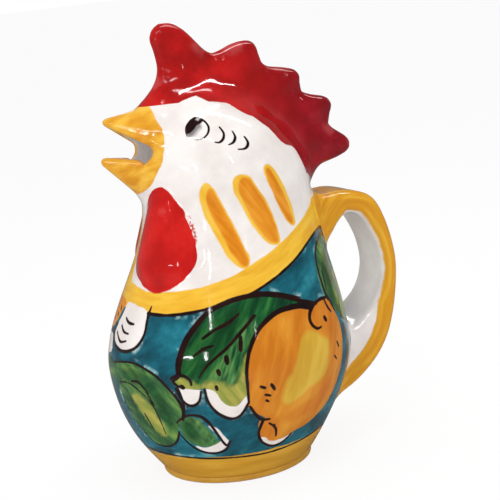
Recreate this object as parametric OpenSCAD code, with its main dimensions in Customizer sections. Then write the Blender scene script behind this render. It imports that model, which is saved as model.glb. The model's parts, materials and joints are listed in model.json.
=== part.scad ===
// Glazed earthenware jug in the shape of a rooster, open at the beak, with a strap handle at the back.
// Millimetres. The origin is the centre of the foot on the table, +X points to the handle, +Z is up.

/* [Body] */
// Outer diameter of the foot
foot_d = 81; // [70:1:92]
// Height of the bare foot ring
foot_h = 3; // [2:0.5:6]
// Width of the foot ring's rim
foot_rim_w = 7; // [4:0.5:12]
// Widest diameter of the belly
belly_d = 131; // [118:1:145]
// Height of the widest part of the belly
belly_z = 60; // [50:1:72]
// How far the belly leans back over the foot
belly_lean = 3; // [0:0.5:8]
// Thickness of the fired wall
wall_t = 5; // [3.5:0.5:7]
// Thickness of the floor
floor_t = 6; // [4:0.5:10]

/* [Head] */
// Diameter of the head where the crown begins
neck_d = 91.6; // [84:0.2:98]
// Height at which the crown begins
neck_z = 147; // [140:1:154]
// How far the head leans back over the foot
neck_lean = 12.5; // [8:0.5:16]
// Height of the bare crown, under the comb
crown_z = 203; // [197:1:209]
// How far the top of the crown leans back
crown_lean = 0; // [-4:0.5:4]
// Width of the head across, as a share of its length
head_narrow_share = 0.88; // [0.82:0.01:0.96]
// Height of the seam between body and head, over the middle of the foot
seam_z = 104.3; // [98:0.1:110]
// Tilt of that seam, up towards the handle
seam_tilt = 16.7; // [10:0.1:20]

/* [Beak] */
// Radius of the upper beak at its root
upper_root_r = 19.5; // [17:0.5:21]
// Height of the middle of the upper beak's root
upper_root_z = 177.5; // [175:0.5:180]
// Height of the upper beak's tip
upper_tip_z = 191; // [188:0.5:194]
// Radius of the lower beak at its root
lower_root_r = 18.5; // [16:0.5:20]
// Height of the middle of the lower beak's root
lower_root_z = 163.5; // [161:0.5:166]
// Height of the lower beak's tip
lower_tip_z = 172; // [169:0.5:174]
// How far the middle of each beak's root lies before the foot's middle
beak_root_x = 21.5; // [20:0.5:24]
// How far the middle of the upper tip reaches before the foot's middle
upper_reach = 48; // [45:0.5:52]
// How far the middle of the lower tip reaches before the foot's middle
lower_reach = 50.5; // [47:0.5:54]
// Radius of the rounded tips
tip_r = 3; // [2:0.1:3.5]
// Thickness of the beak's wall
beak_wall_t = 4.5; // [3.5:0.5:6]
// Radius of the corner of the mouth
mouth_corner_r = 4; // [3:0.5:5]
// Distance of the corner of the mouth before the foot's middle
mouth_corner_x = 34; // [32:0.5:36]
// Height of the corner of the mouth
mouth_corner_z = 174.5; // [173:0.5:176]
// Width of the passage from the mouth into the head
throat_w = 22; // [16:1:26]
// Height of that passage
throat_h = 16; // [12:1:18]

/* [Comb] */
// Height of the comb's middle, from which its points spread
comb_z = 158; // [154:1:162]
// Distance of that middle behind the foot's middle
comb_x = 6; // [3:0.5:9]
// Longest reach of the comb from its middle
comb_reach = 82; // [76:1:88]
// Thickness of the comb at its rounded edge
comb_edge_t = 8; // [6:0.5:10]
// Thickness of the comb at its root
comb_root_t = 17; // [12:0.5:20]
// Turn of the root's front end, up from the handle's side
comb_front_turn = 117; // [114:1:120]
// Turn of the root's back end
comb_back_turn = -3; // [-6:1:0]
// Radius of the buried root line about the comb's middle
comb_root_reach = 36; // [32:1:38]

/* [Wattles] */
// How far the wattles stand out of the throat
wattle_rise = 3.4; // [2:0.1:5]
// Half width of a wattle's lobe at its widest
wattle_low_r = 19; // [16:0.5:22]
// Half width of a wattle's top
wattle_top_r = 9; // [6:0.5:12]
// Height of the middle of the lobe
wattle_low_z = 113; // [110:0.5:118]
// Height of the middle of the top
wattle_top_z = 149; // [146:0.5:152]
// Turn of the right wattle about the neck, from the front
wattle_right_angle = 22; // [18:1:28]
// Turn of the left wattle about the neck, from the front
wattle_left_angle = 54; // [48:1:60]

/* [Handle] */
// Width of the strap
handle_w = 32; // [24:1:36]
// Thickness of the strap at its middle
handle_t = 9.5; // [8:0.5:11]
// Height of the strap's highest middle point
handle_top_z = 131; // [128:0.5:134]
// Height of the lower end of the strap's middle line
handle_low_z = 39.5; // [37:0.5:42]
// Reach of the strap's middle line behind the foot's middle
handle_reach = 98; // [94:0.5:106]
// Distance of the strap's ends behind the foot's middle
handle_root_x = 50; // [46:0.5:52]

/* [Hidden] */
// Facets round the body and the head
sides = 48;
// Rows in the lower belly, from the belly to the head, and in the crown
rows = [7, 11, 9];
// Facets of the small round forms
bead_sides = 16;
// Facets of the beak's forms
beak_sides = 32;
// Stations along the handle and points round its section
handle_steps = 34;
strap_sides = 24;
// How square the strap's section is: 1 is an ellipse
oblong_power = 0.6;
foot_r = foot_d / 2;
belly_r = belly_d / 2;
neck_r = neck_d / 2;
// Larger than the jug on every side
span = 2 * (crown_z + comb_reach);
// How round the lower belly is, and how fast the crown leans forward
belly_power = 1.75;
crown_power = 1.6;
// How much sooner than the belly's foot its middle is back over the foot's middle
lean_rate = 1.35;
// Squash of the beak's forms across
upper_squash_share = 0.93;
lower_squash_share = 0.92;
// Turn in degrees from the front and reach of the comb's edge beads, its five points and the dips between
comb_shares = [
    [127, 0.575], [118, 0.6], [111.5, 0.66], [108, 0.74], [106.5, 0.84], [106, 0.92], [103.5, 0.95],
    [101, 0.94], [98.5, 0.91], [96, 0.865], [92.5, 0.795], [88.5, 0.735], [83, 0.705], [77.5, 0.725],
    [72, 0.775], [67.5, 0.81], [64.5, 0.82], [61.5, 0.775], [57.5, 0.73], [52, 0.725], [44.5, 0.78],
    [39.5, 0.82], [37, 0.795], [31, 0.76], [26, 0.8], [20.5, 0.895], [17.5, 0.87], [12, 0.83],
    [7.5, 0.86], [2, 0.95], [0, 0.9], [-1.5, 0.81], [-3, 0.74], [-7, 0.66]
];
// Places of the handle's middle line between root and reach, and between low end and top, with the
// strap's thickness and width as shares of those at its middle. It thickens into its two roots.
handle_shares = [
    [0, 0.907, 2.95, 1], [0.19, 0.94, 2.74, 1], [0.279, 0.96, 2.21, 1], [0.367, 0.978, 1.78, 1],
    [0.49, 1, 1.34, 1], [0.629, 0.989, 1.24, 1], [0.779, 0.952, 1.29, 1], [0.873, 0.871, 1.21, 1],
    [0.958, 0.748, 1.05, 1], [1, 0.61, 1, 1], [0.983, 0.498, 1.03, 1], [0.919, 0.386, 1.21, 1.05],
    [0.833, 0.301, 1.53, 1.12], [0.721, 0.224, 1.95, 1.2], [0.581, 0.152, 2.32, 1.26], [0.406, 0.089, 2.63, 1.3],
    [0.2, 0.037, 2.95, 1.3], [-0.044, -0.002, 3.16, 1.3]
];

function clamp(v) = min(max(v, 0), 1);
function smooth(v) = v * v * (3 - 2 * v);
function below_belly(z) = clamp((belly_z - z) / (belly_z - foot_h));
function above_belly(z) = clamp((z - belly_z) / (neck_z - belly_z));
function up_crown(z, inset) = clamp((z - neck_z) / (crown_z - inset - neck_z));

// Half length of the level section at height z, drawn in by inset
function half_length(z, inset) =
    z < belly_z ? foot_r + (belly_r - foot_r) * (1 - pow(below_belly(z), belly_power)) - inset
    : z < neck_z ? belly_r + (neck_r - belly_r) * smooth(above_belly(z)) - inset
    : (neck_r - inset) * sqrt(1 - pow(up_crown(z, inset), 2));

function half_width(z, inset) =
    half_length(z, inset) * (1 + (head_narrow_share - 1) * smooth(above_belly(z)));

// Middle of the level section, behind the foot's middle
function middle(z, inset) =
    z < belly_z ? belly_lean * smooth(clamp(1 - lean_rate * below_belly(z)))
    : z < neck_z ? belly_lean + (neck_lean - belly_lean) * smooth(above_belly(z))
    : crown_lean + (neck_lean - crown_lean) * (1 - pow(up_crown(z, inset), crown_power));

// Point of the section at height z, turned from the front towards the right side
function skin(z, turn, inset) = [
    middle(z, inset) - half_length(z, inset) * cos(turn),
    -half_width(z, inset) * sin(turn),
    z
];

function ring(z, inset) = [for (k = [0:sides - 1]) skin(z, 360 * k / sides, inset)];

function levels(low_z, inset) = concat(
    [for (i = [0:rows[0] - 1]) low_z + (belly_z - low_z) * i / rows[0]],
    [for (i = [0:rows[1] - 1]) belly_z + (neck_z - belly_z) * i / rows[1]],
    [for (i = [0:rows[2]]) neck_z + (crown_z - inset - neck_z) * sin(90 * i / rows[2])]
);

// Closed form of the body and head together, drawn in by inset, from low_z to the crown
module vessel(low_z, inset) {
    z = levels(low_z, inset);
    for (i = [0:len(z) - 2])
        hull()
            polyhedron(concat(ring(z[i], inset), ring(z[i + 1], inset)), [[for (k = [0:2 * sides - 1]) k]]);
}

module hollow_vessel() {
    difference() {
        vessel(foot_h, 0);
        vessel(foot_h + floor_t, wall_t);
    }
}

// Everything above the tilted seam
module above_seam() {
    translate([0, 0, seam_z])
        rotate([0, -seam_tilt, 0])
            translate([-span / 2, -span / 2, 0])
                cube(span);
}

module foot_ring() {
    color("tan")
        rotate_extrude($fn = 96)
            translate([foot_r - foot_rim_w, 0])
                square([foot_rim_w, foot_h]);
}

module body_shell() {
    color("teal")
        difference() {
            hollow_vessel();
            above_seam();
        }
}

module head_shell() {
    color("ivory")
        difference() {
            intersection() {
                hollow_vessel();
                above_seam();
            }
            mouth();
            beak_hollow();
            throat();
        }
}

// Round form squashed across, one of the two ends of a beak
module bead(x, z, r, squash) {
    translate([x, 0, z])
        scale([1, squash, 1])
            sphere(r, $fn = beak_sides);
}

// A beak's form between its root and its tip, drawn in by inset
module beak_form(root_z, root_r, reach, tip_z, squash, inset) {
    hull() {
        bead(-beak_root_x, root_z, root_r - inset, squash);
        bead(-reach + inset, tip_z, max(tip_r - inset, tip_r / 2), squash);
    }
}

module beak_forms(inset) {
    beak_form(upper_root_z, upper_root_r, upper_reach, upper_tip_z, upper_squash_share, inset);
    beak_form(lower_root_z, lower_root_r, lower_reach, lower_tip_z, lower_squash_share, inset);
}

module beak_hollow() {
    beak_forms(beak_wall_t);
}

// Height of the slot's edges where the tips end
function slot_top() = upper_tip_z - tip_r;
function slot_floor() = lower_tip_z + tip_r;

// Wedge between the two beaks, open to the front and to both sides
module mouth() {
    rotate([90, 0, 0])
        linear_extrude(span, center = true)
            hull() {
                translate([-mouth_corner_x, mouth_corner_z])
                    circle(mouth_corner_r, $fn = beak_sides);
                translate([-upper_reach, slot_floor()])
                    square([tip_r, slot_top() - slot_floor()]);
                translate([-upper_reach - upper_root_r, slot_floor()])
                    square([tip_r, slot_top() - slot_floor() + 2 * tip_r]);
            }
}

// Passage through the head's wall, behind the corner of the mouth
module throat() {
    translate([-mouth_corner_x, 0, mouth_corner_z - mouth_corner_r])
        rotate([0, 90, 0])
            scale([throat_h / throat_w, 1, 1])
                cylinder(d = throat_w, h = throat_w, $fn = beak_sides);
}

// Both beaks in one, before the head is cut away
module bill() {
    difference() {
        beak_forms(0);
        beak_hollow();
        mouth();
        throat();
        vessel(foot_h, 0);
    }
}

module above_mouth() {
    translate([-span, -span / 2, mouth_corner_z])
        cube(span);
}

module upper_beak() {
    color("goldenrod")
        intersection() {
            bill();
            above_mouth();
        }
}

module lower_beak() {
    color("goldenrod")
        difference() {
            bill();
            above_mouth();
        }
}

module comb_edge(i) {
    reach = comb_reach * comb_shares[i][1];
    translate([comb_x + reach * cos(comb_shares[i][0]), 0, comb_z + reach * sin(comb_shares[i][0])])
        sphere(d = comb_edge_t, $fn = bead_sides);
}

module comb_root(i) {
    turn = max(min(comb_shares[i][0], comb_front_turn), comb_back_turn);
    translate([comb_x + comb_root_reach * cos(turn), 0, comb_z + comb_root_reach * sin(turn)])
        sphere(d = comb_root_t, $fn = bead_sides);
}

module comb() {
    color("firebrick")
        difference() {
            for (i = [0:len(comb_shares) - 2])
                hull() {
                    comb_edge(i);
                    comb_edge(i + 1);
                    comb_root(i);
                    comb_root(i + 1);
                }
            vessel(foot_h, 0);
            beak_forms(0);
        }
}

// Radius of a ball that shows a cap of half width cap_r, rising out of a round form of radius skin_r
function cap_ball(cap_r, skin_r) =
    1 / (2 * wattle_rise / (cap_r * cap_r + wattle_rise * wattle_rise) + 1 / skin_r);

// Ball that stands out of the throat
module wattle_ball(z, turn, cap_r) {
    r = cap_ball(cap_r, half_length(z, 0));
    translate(skin(z, turn, r - wattle_rise))
        sphere(r, $fn = 2 * beak_sides);
}

// Wattle on the right side of the throat, turned from the front
module wattle(turn) {
    color("red")
        difference() {
            hull() {
                wattle_ball(wattle_top_z, turn, wattle_top_r);
                wattle_ball(wattle_low_z, turn, wattle_low_r);
            }
            vessel(foot_h, 0);
        }
}

module wattle_right() {
    wattle(wattle_right_angle);
}

module wattle_left() {
    mirror([0, 1, 0])
        wattle(wattle_left_angle);
}

// Smooth curve through four neighbours, after the second one
function between(a, b, c, d, t) =
    ((2 * b) + (c - a) * t + (2 * a - 5 * b + 4 * c - d) * t * t + (3 * b - a - 3 * c + d) * t * t * t) / 2;

function share_at(i) = handle_shares[min(max(i, 0), len(handle_shares) - 1)];

// Place, thickness and width shares at station s of the handle
function station(s) =
    let (u = s * (len(handle_shares) - 1) / handle_steps, i = min(floor(u), len(handle_shares) - 2))
    between(share_at(i - 1), share_at(i), share_at(i + 1), share_at(i + 2), u - i);

// Middle line, thickness and width of the strap at station s
function strap_x(s) = handle_root_x + (handle_reach - handle_root_x) * station(s)[0];
function strap_z(s) = handle_low_z + (handle_top_z - handle_low_z) * station(s)[1];
function strap_t(s) = handle_t * station(s)[2];
function strap_w(s) = handle_w * station(s)[3];

// Direction in which the middle line runs at station s, in degrees
function heading(s) =
    let (a = max(s - 1, 0), b = min(s + 1, handle_steps))
    atan2(strap_z(b) - strap_z(a), strap_x(b) - strap_x(a));

// Coordinate of a rounded oblong that is half_size wide, at the given cosine or sine
function oblong(half_size, c) = half_size * sign(c) * pow(abs(c), oblong_power);

function strap_ring(s) = [
    for (k = [0:strap_sides - 1])
        let (a = 360 * k / strap_sides, out = oblong(strap_t(s) / 2, cos(a)))
        [
            strap_x(s) - out * sin(heading(s)),
            oblong(strap_w(s) / 2, sin(a)),
            strap_z(s) + out * cos(heading(s))
        ]
];

module strap() {
    n = strap_sides;
    last = n * handle_steps;
    points = [for (s = [0:handle_steps]) each strap_ring(s)];
    walls = [
        for (s = [0:handle_steps - 1], k = [0:n - 1])
            let (a = n * s + k, b = n * s + (k + 1) % n)
            each [[a, b, b + n], [a, b + n, a + n]]
    ];
    ends = [[for (k = [0:n - 1]) n - 1 - k], [for (k = [0:n - 1]) last + k]];
    polyhedron(points, concat(walls, ends));
}

module handle() {
    color("gold")
        difference() {
            strap();
            vessel(foot_h, 0);
        }
}

body_shell();
foot_ring();
head_shell();
comb();
upper_beak();
lower_beak();
wattle_left();
wattle_right();
handle();
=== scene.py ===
"""Glazed rooster jug: one smooth fired surface, parted into its pieces and painted by node materials."""
import json
import math
import bpy
import bmesh
import numpy as np
import openvdb
from mathutils import Matrix, Vector

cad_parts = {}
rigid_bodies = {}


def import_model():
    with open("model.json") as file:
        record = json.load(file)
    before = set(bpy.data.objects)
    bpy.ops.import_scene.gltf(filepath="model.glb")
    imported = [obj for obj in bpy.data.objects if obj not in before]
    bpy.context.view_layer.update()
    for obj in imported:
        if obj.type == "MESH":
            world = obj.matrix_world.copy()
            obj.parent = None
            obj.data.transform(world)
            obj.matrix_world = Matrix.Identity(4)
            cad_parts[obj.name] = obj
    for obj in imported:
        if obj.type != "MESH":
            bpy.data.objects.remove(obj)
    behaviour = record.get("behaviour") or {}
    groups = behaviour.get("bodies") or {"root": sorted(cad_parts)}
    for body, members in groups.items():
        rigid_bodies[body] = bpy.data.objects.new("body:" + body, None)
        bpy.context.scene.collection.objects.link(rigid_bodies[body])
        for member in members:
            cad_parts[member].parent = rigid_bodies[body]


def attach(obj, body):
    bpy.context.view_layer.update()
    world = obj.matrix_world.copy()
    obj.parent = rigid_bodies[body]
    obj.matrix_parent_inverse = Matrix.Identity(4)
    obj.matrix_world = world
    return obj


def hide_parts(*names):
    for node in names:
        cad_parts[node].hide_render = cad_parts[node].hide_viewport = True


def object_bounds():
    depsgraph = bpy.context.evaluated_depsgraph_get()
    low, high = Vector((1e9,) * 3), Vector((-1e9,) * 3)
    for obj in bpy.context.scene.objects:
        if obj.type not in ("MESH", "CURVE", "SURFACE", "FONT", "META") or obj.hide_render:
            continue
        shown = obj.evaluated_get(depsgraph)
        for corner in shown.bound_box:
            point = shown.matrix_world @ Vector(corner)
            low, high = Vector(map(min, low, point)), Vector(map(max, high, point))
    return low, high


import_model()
cad_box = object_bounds()

# A millimetre in metres. The sizes that follow are in millimetres, as in the part's source.
MM = 0.001
FOOT_R, FOOT_H, FOOT_RIM_W = 40.5, 3.0, 7.0
BELLY_R, BELLY_Z, BELLY_LEAN = 65.5, 60.0, 3.0
NECK_R, NECK_Z, NECK_LEAN = 45.8, 147.0, 12.5
CROWN_Z, CROWN_LEAN = 203.0, 0.0
HEAD_NARROW = 0.88
WALL_T, FLOOR_T = 5.0, 6.0
BELLY_POWER, CROWN_POWER, LEAN_RATE = 1.75, 1.6, 1.35
SEAM_Z, SEAM_TILT = 104.3, math.radians(16.7)
# x, height and radius at both ends of a beak, and its width as a share of its height
UPPER_BEAK = {"root": (-21.5, 177.5, 19.5), "tip": (-46.8, 189.8, 4.2), "squash": 0.93}
LOWER_BEAK = {"root": (-21.5, 163.5, 18.5), "tip": (-50.5, 172.0, 3.0), "squash": 0.92}
BEAK_WALL_T = 4.5
# The slot between the beaks: a level wedge from the corner of the mouth to beyond the tips
MOUTH_CORNER = (-34.0, 175.0, 3.9)
MOUTH_FRONT = (-62.0, 187.0, 10.0)
THROAT_W, THROAT_H = 22.0, 16.0
COMB_CENTRE = (6.0, 158.0)
COMB_REACH, COMB_EDGE_T, COMB_ROOT_T = 82.0, 8.0, 17.0
WATTLE_RISE, WATTLE_TOP_R, WATTLE_LOW_R = 3.4, 9.0, 19.0
WATTLE_TOP_Z, WATTLE_LOW_Z = 149.0, 113.0
WATTLE_TURNS = {"wattle_right": 22.0, "wattle_left": -54.0}
HANDLE_W, HANDLE_T = 32.0, 9.5
HANDLE_TOP_Z, HANDLE_LOW_Z = 131.0, 39.5
HANDLE_REACH, HANDLE_ROOT_X = 98.0, 50.0
HANDLE_STEPS = 68
# Steps of a curve between two places of an outline, and of a brush line
CURVE_STEPS, STROKE_STEPS = 4, 3
# The strap's edges are rounded by this share of half its thickness
STRAP_ROUND = 0.94
# Grid on which the strap is laid out from the side, and how far its inner corners are softened
STRAP_SPAN_X, STRAP_SPAN_Z, STRAP_CELL, STRAP_SOFT = (5.0, 125.0), (-10.0, 165.0), 0.5, 2.2
# Turn in degrees and reach of the comb's edge, as in the part's source
COMB_SHARES = [
    (127, 0.575), (118, 0.6), (111.5, 0.66), (108, 0.74), (106.5, 0.84), (106, 0.92), (103.5, 0.95),
    (101, 0.94), (98.5, 0.91), (96, 0.865), (92.5, 0.795), (88.5, 0.735), (83, 0.705), (77.5, 0.725),
    (72, 0.775), (67.5, 0.81), (64.5, 0.82), (61.5, 0.775), (57.5, 0.73), (52, 0.725), (44.5, 0.78),
    (39.5, 0.82), (37, 0.795), (31, 0.76), (26, 0.8), (20.5, 0.895), (17.5, 0.87), (12, 0.83), (7.5, 0.86),
    (2, 0.95), (0, 0.9), (-1.5, 0.81), (-3, 0.74), (-7, 0.66),
]
# Two corners inside the head that close the comb's outline
COMB_INNER = [(26.0, 150.0), (-12.0, 178.0)]
# Folds of the comb, from each notch towards the root: turn and reach at both ends, and depth
COMB_FOLDS = [
    ((84, 0.72), (108, 0.48), 1.3), ((54, 0.74), (68, 0.50), 1.2), ((32, 0.77), (44, 0.54), 1.2),
    ((13, 0.84), (24, 0.56), 1.3),
]
# Width of a fold, and the share of its depth that it loses towards the root
FOLD_WIDTH, FOLD_FADE = 5.5, 0.85
# Place of the handle's middle line from root to reach and from low end to top, its thickness and width
HANDLE_SHARES = [
    (0, 0.907, 2.95, 1), (0.19, 0.94, 2.74, 1), (0.279, 0.96, 2.21, 1), (0.367, 0.978, 1.78, 1),
    (0.49, 1, 1.34, 1), (0.629, 0.989, 1.24, 1), (0.779, 0.952, 1.29, 1), (0.873, 0.871, 1.21, 1),
    (0.958, 0.748, 1.05, 1), (1, 0.61, 1, 1), (0.983, 0.498, 1.03, 1), (0.919, 0.386, 1.21, 1.05),
    (0.833, 0.301, 1.53, 1.12), (0.721, 0.224, 1.95, 1.2), (0.581, 0.152, 2.32, 1.26),
    (0.406, 0.089, 2.63, 1.3), (0.2, 0.037, 2.95, 1.3), (-0.044, -0.002, 3.16, 1.3),
]
# Soft joins between the pieces of clay and at the edges of the hollow
BLEND = {"comb": 13.0, "beak": 5.0, "beaks": 2.0, "wattle": 2.0, "handle": 7.0, "foot": 1.6, "lip": 2.6,
         "floor": 12.0, "throat": 3.0}
# The mesh's cell and the box that it fills
CELL = 1.25
SPAN_LOW, SPAN_HIGH = (-66.0, -70.0, -2.0), (106.0, 70.0, 242.0)
# Points are drawn along slopes no flatter than this, squared
LEAST_SLOPE = 0.04
# Forms are worked out only near them: the comb above this height and this near the middle, and the handle
# behind this x. Elsewhere they count as this far away.
COMB_LOW, COMB_NEAR, HANDLE_NEAR, FAR = 140.0, 25.5, 15.0, 60.0
# How the comb swells behind its edge. The edge's sum is measured in soft depths.
SOFT_DEPTH, SWELL_DEPTH, EDGE_SUM = 3.0, 13.0, 3.2
# Where an attached piece is parted from the shell: this far outside the shell's own form
PART_RISE = 0.7
# Cell of the parting forms, the boxes round shell and wattles, and the shell form's lower end
PART_CELL, SHELL_BOX, SHELL_LOW = 2.0, ((-72, -72, -10), (74, 72, 214)), -4.0
WATTLE_BOX = (-70, -70, 60), (40, 70, 180)
BLOCK_REACH = 400.0
# Height between the handle and the comb, and x in front of the handle
HANDLE_TOP, HANDLE_FRONT = 145.0, 15.0
# The comb is parted from the beak below this height, in front of this x
COMB_FOOT = (-10.0, 197.3)
# A corner lies on the glazed skin when it is this near to it and its face looks this much along the slope
SKIN_NEAR, SKIN_FACING = 0.12, 0.55
# Worn edge of the foot ring, how far its top is tucked into the body, and its shoulder's share of its height
FOOT_WORN, FOOT_TUCK, FOOT_SHOULDER = 0.9, 0.4, 0.7
# Sides of the ring, steps of its worn edge, and the angle from which an edge is sharp
FOOT_SIDES, FOOT_STEPS, FOOT_SHARP = 192, 6, math.radians(50)


def smooth(v):
    return v * v * (3 - 2 * v)


def smooth_min(a, b, k):
    h = np.maximum(k - np.abs(a - b), 0) / k
    return np.minimum(a, b) - h * h * k / 4


def smooth_max(a, b, k):
    return -smooth_min(-a, -b, k)


def catmull(points, steps, closed=False):
    """Points on a smooth curve through the given ones."""
    p = np.asarray(points, float)
    n = len(p) if closed else len(p) - 1
    out = []
    for i in range(n):
        near = [(i + k) % len(p) if closed else min(max(i + k, 0), len(p) - 1) for k in (-1, 0, 1, 2)]
        a, b, c, d = p[near]
        for t in np.arange(steps) / steps:
            out.append((2 * b + (c - a) * t + (2 * a - 5 * b + 4 * c - d) * t ** 2
                        + (3 * b - a - 3 * c + d) * t ** 3) / 2)
    if not closed:
        out.append(p[-1])
    return np.array(out)


def to_segment(x, z, a, b):
    """Distance from (x, z) to the segment from a to b, and how far along it is, from 0 to 1."""
    ex, ez = b[0] - a[0], b[1] - a[1]
    along = np.clip(((x - a[0]) * ex + (z - a[1]) * ez) / (ex * ex + ez * ez + 1e-12), 0, 1)
    return np.hypot(x - a[0] - ex * along, z - a[1] - ez * along), along


def outline_distance(outline, x, z):
    """Distance from (x, z) to a closed outline, negative inside."""
    shape = np.broadcast(x, z).shape
    best, inner = np.full(shape, np.inf), np.zeros(shape, bool)
    for a, b in zip(outline, np.roll(outline, -1, 0)):
        best = np.minimum(best, to_segment(x, z, a, b)[0])
        if a[1] != b[1]:
            inner ^= ((a[1] > z) != (b[1] > z)) & (x < (b[0] - a[0]) * (z - a[1]) / (b[1] - a[1]) + a[0])
    return np.where(inner, -best, best)


def section(z, inset=0.0):
    """Middle, half length and half width of the level section at height z, drawn in by inset."""
    u = np.clip((BELLY_Z - z) / (BELLY_Z - FOOT_H), 0, 1)
    v = smooth(np.clip((z - BELLY_Z) / (NECK_Z - BELLY_Z), 0, 1))
    low = z < BELLY_Z
    r = np.where(low, FOOT_R + (BELLY_R - FOOT_R) * (1 - u ** BELLY_POWER), BELLY_R + (NECK_R - BELLY_R) * v)
    low_lean = BELLY_LEAN * smooth(np.clip(1 - LEAN_RATE * u, 0, 1))
    lean = np.where(low, low_lean, BELLY_LEAN + (NECK_LEAN - BELLY_LEAN) * v)
    t = np.clip((z - NECK_Z) / (CROWN_Z - inset - NECK_Z), 0, 1)
    lean = np.where(z > NECK_Z, CROWN_LEAN + (NECK_LEAN - CROWN_LEAN) * (1 - t ** CROWN_POWER), lean)
    return lean, r - inset, (r - inset) * (1 + (HEAD_NARROW - 1) * v)


def vessel(x, y, z, inset=0.0):
    """Distance from the side wall of body and head, drawn in by inset, with no floor."""
    lean, a, b = section(z, inset)
    t = np.maximum((z - NECK_Z) / (CROWN_Z - inset - NECK_Z), 0)
    return (np.sqrt(((x - lean) / a) ** 2 + (y / b) ** 2 + t ** 2) - 1) * b


def skin_point(z, turn, inset):
    """Point of the wall at height z, turned from the front towards the right side."""
    lean, a, b = section(np.array(float(z)), inset)
    return np.array([lean - a * math.cos(math.radians(turn)), -b * math.sin(math.radians(turn)), z])


def round_cone(p, a, b, ra, rb):
    """Distance from the hull of two balls. p is a list of coordinate arrays."""
    ba = [q - o for o, q in zip(a, b)]
    l2 = sum(c * c for c in ba)
    rr = ra - rb
    a2, il2 = l2 - rr * rr, 1 / l2
    pa = [c - o for c, o in zip(p, a)]
    y = sum(c * q for c, q in zip(pa, ba))
    z = y - l2
    x2 = sum((c * l2 - q * y) ** 2 for c, q in zip(pa, ba))
    y2, z2 = y * y * l2, z * z * l2
    k = np.sign(rr) * rr * rr * x2
    side = (np.sqrt(x2 * a2 * il2) + y * rr) * il2 - ra
    side = np.where(np.sign(y) * a2 * y2 < k, np.sqrt(x2 + y2) * il2 - ra, side)
    return np.where(np.sign(z) * a2 * z2 > k, np.sqrt(x2 + z2) * il2 - rb, side)


def beak_form(x, y, z, beak, inset=0.0):
    (ax, az, ar), (bx, bz, br), s = beak["root"], beak["tip"], beak["squash"]
    tip_r = max(br - inset, br / 2)
    return s * round_cone([x, y / s, z], (ax, 0, az), (bx + inset, 0, bz), ar - inset, tip_r)


def mouth(x, y, z):
    (ax, az, ar), (bx, bz, br) = MOUTH_CORNER, MOUTH_FRONT
    return round_cone([x + 0 * y, z + 0 * y], (ax, az), (bx, bz), ar, br)


def throat(x, y, z):
    """The passage from the mouth into the head."""
    k = THROAT_W / THROAT_H
    level = MOUTH_CORNER[1] - MOUTH_CORNER[2]
    tube = (np.sqrt(y * y + ((z - level) * k) ** 2) - THROAT_W / 2) / k
    ends = np.abs(x - MOUTH_CORNER[0] - THROAT_W / 2) - THROAT_W / 2
    return np.maximum(tube, ends)


def comb_place(turn, share):
    t, reach = math.radians(turn), COMB_REACH * share
    return COMB_CENTRE[0] + reach * math.cos(t), COMB_CENTRE[1] + reach * math.sin(t)


COMB_OUTLINE = np.vstack([catmull([comb_place(*row) for row in COMB_SHARES], CURVE_STEPS), COMB_INNER])


def near_only(form, near, x, y, z):
    """form(x, y, z) on the points of a list that are near it, and FAR on the rest. Grids take it whole."""
    if np.ndim(x) > 1:
        return form(x, y, z)
    out = np.full(len(x), FAR)
    out[near] = form(x[near], y[near], z[near])
    return out


def comb_plate(x, y, z):
    """A plump plate: thin at its rounded edge and thicker the deeper inside its outline, with soft folds."""
    d = outline_distance(COMB_OUTLINE, x, z)
    near = 1e-9
    for a, b in zip(COMB_OUTLINE, np.roll(COMB_OUTLINE, -1, 0)):
        near = near + math.hypot(b[0] - a[0], b[1] - a[1]) * np.exp(-to_segment(x, z, a, b)[0] / SOFT_DEPTH)
    depth = np.maximum(-SOFT_DEPTH * np.log(near / (EDGE_SUM * SOFT_DEPTH)), 0) * (d < 0)
    half = COMB_EDGE_T / 2 + (COMB_ROOT_T - COMB_EDGE_T) / 2 * (1 - np.exp(-depth / SWELL_DEPTH))
    for start, end, drop in COMB_FOLDS:
        off, along = to_segment(x, z, comb_place(*start), comb_place(*end))
        half = half - drop * (1 - FOLD_FADE * along) * np.exp(-(off / FOLD_WIDTH) ** 2)
    return np.hypot(np.maximum(d + half - COMB_EDGE_T / 2, 0), y) - half


def comb(x, y, z):
    return near_only(comb_plate, (z > COMB_LOW) & (np.abs(y) < COMB_NEAR), x, y, z)


def wattle(x, y, z, turn):
    """A lobe that stands out of the throat: the hull of two balls, each showing a cap."""
    ends = []
    for height, cap_r in ((WATTLE_TOP_Z, WATTLE_TOP_R), (WATTLE_LOW_Z, WATTLE_LOW_R)):
        skin_r = section(np.array(height))[1]
        r = 1 / (2 * WATTLE_RISE / (cap_r ** 2 + WATTLE_RISE ** 2) + 1 / skin_r)
        ends.append((skin_point(height, turn, r - WATTLE_RISE), float(r)))
    (a, ra), (b, rb) = ends
    return round_cone([x, y, z], a, b, ra, rb)


def handle_line():
    """Points (x, z, thickness, width) along the strap's middle line."""
    line = catmull(HANDLE_SHARES, HANDLE_STEPS // (len(HANDLE_SHARES) - 1))
    scale = (HANDLE_REACH - HANDLE_ROOT_X, HANDLE_TOP_Z - HANDLE_LOW_Z, HANDLE_T, HANDLE_W)
    return line * scale + (HANDLE_ROOT_X, HANDLE_LOW_Z, 0, 0)


HANDLE_LINE = handle_line()


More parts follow.
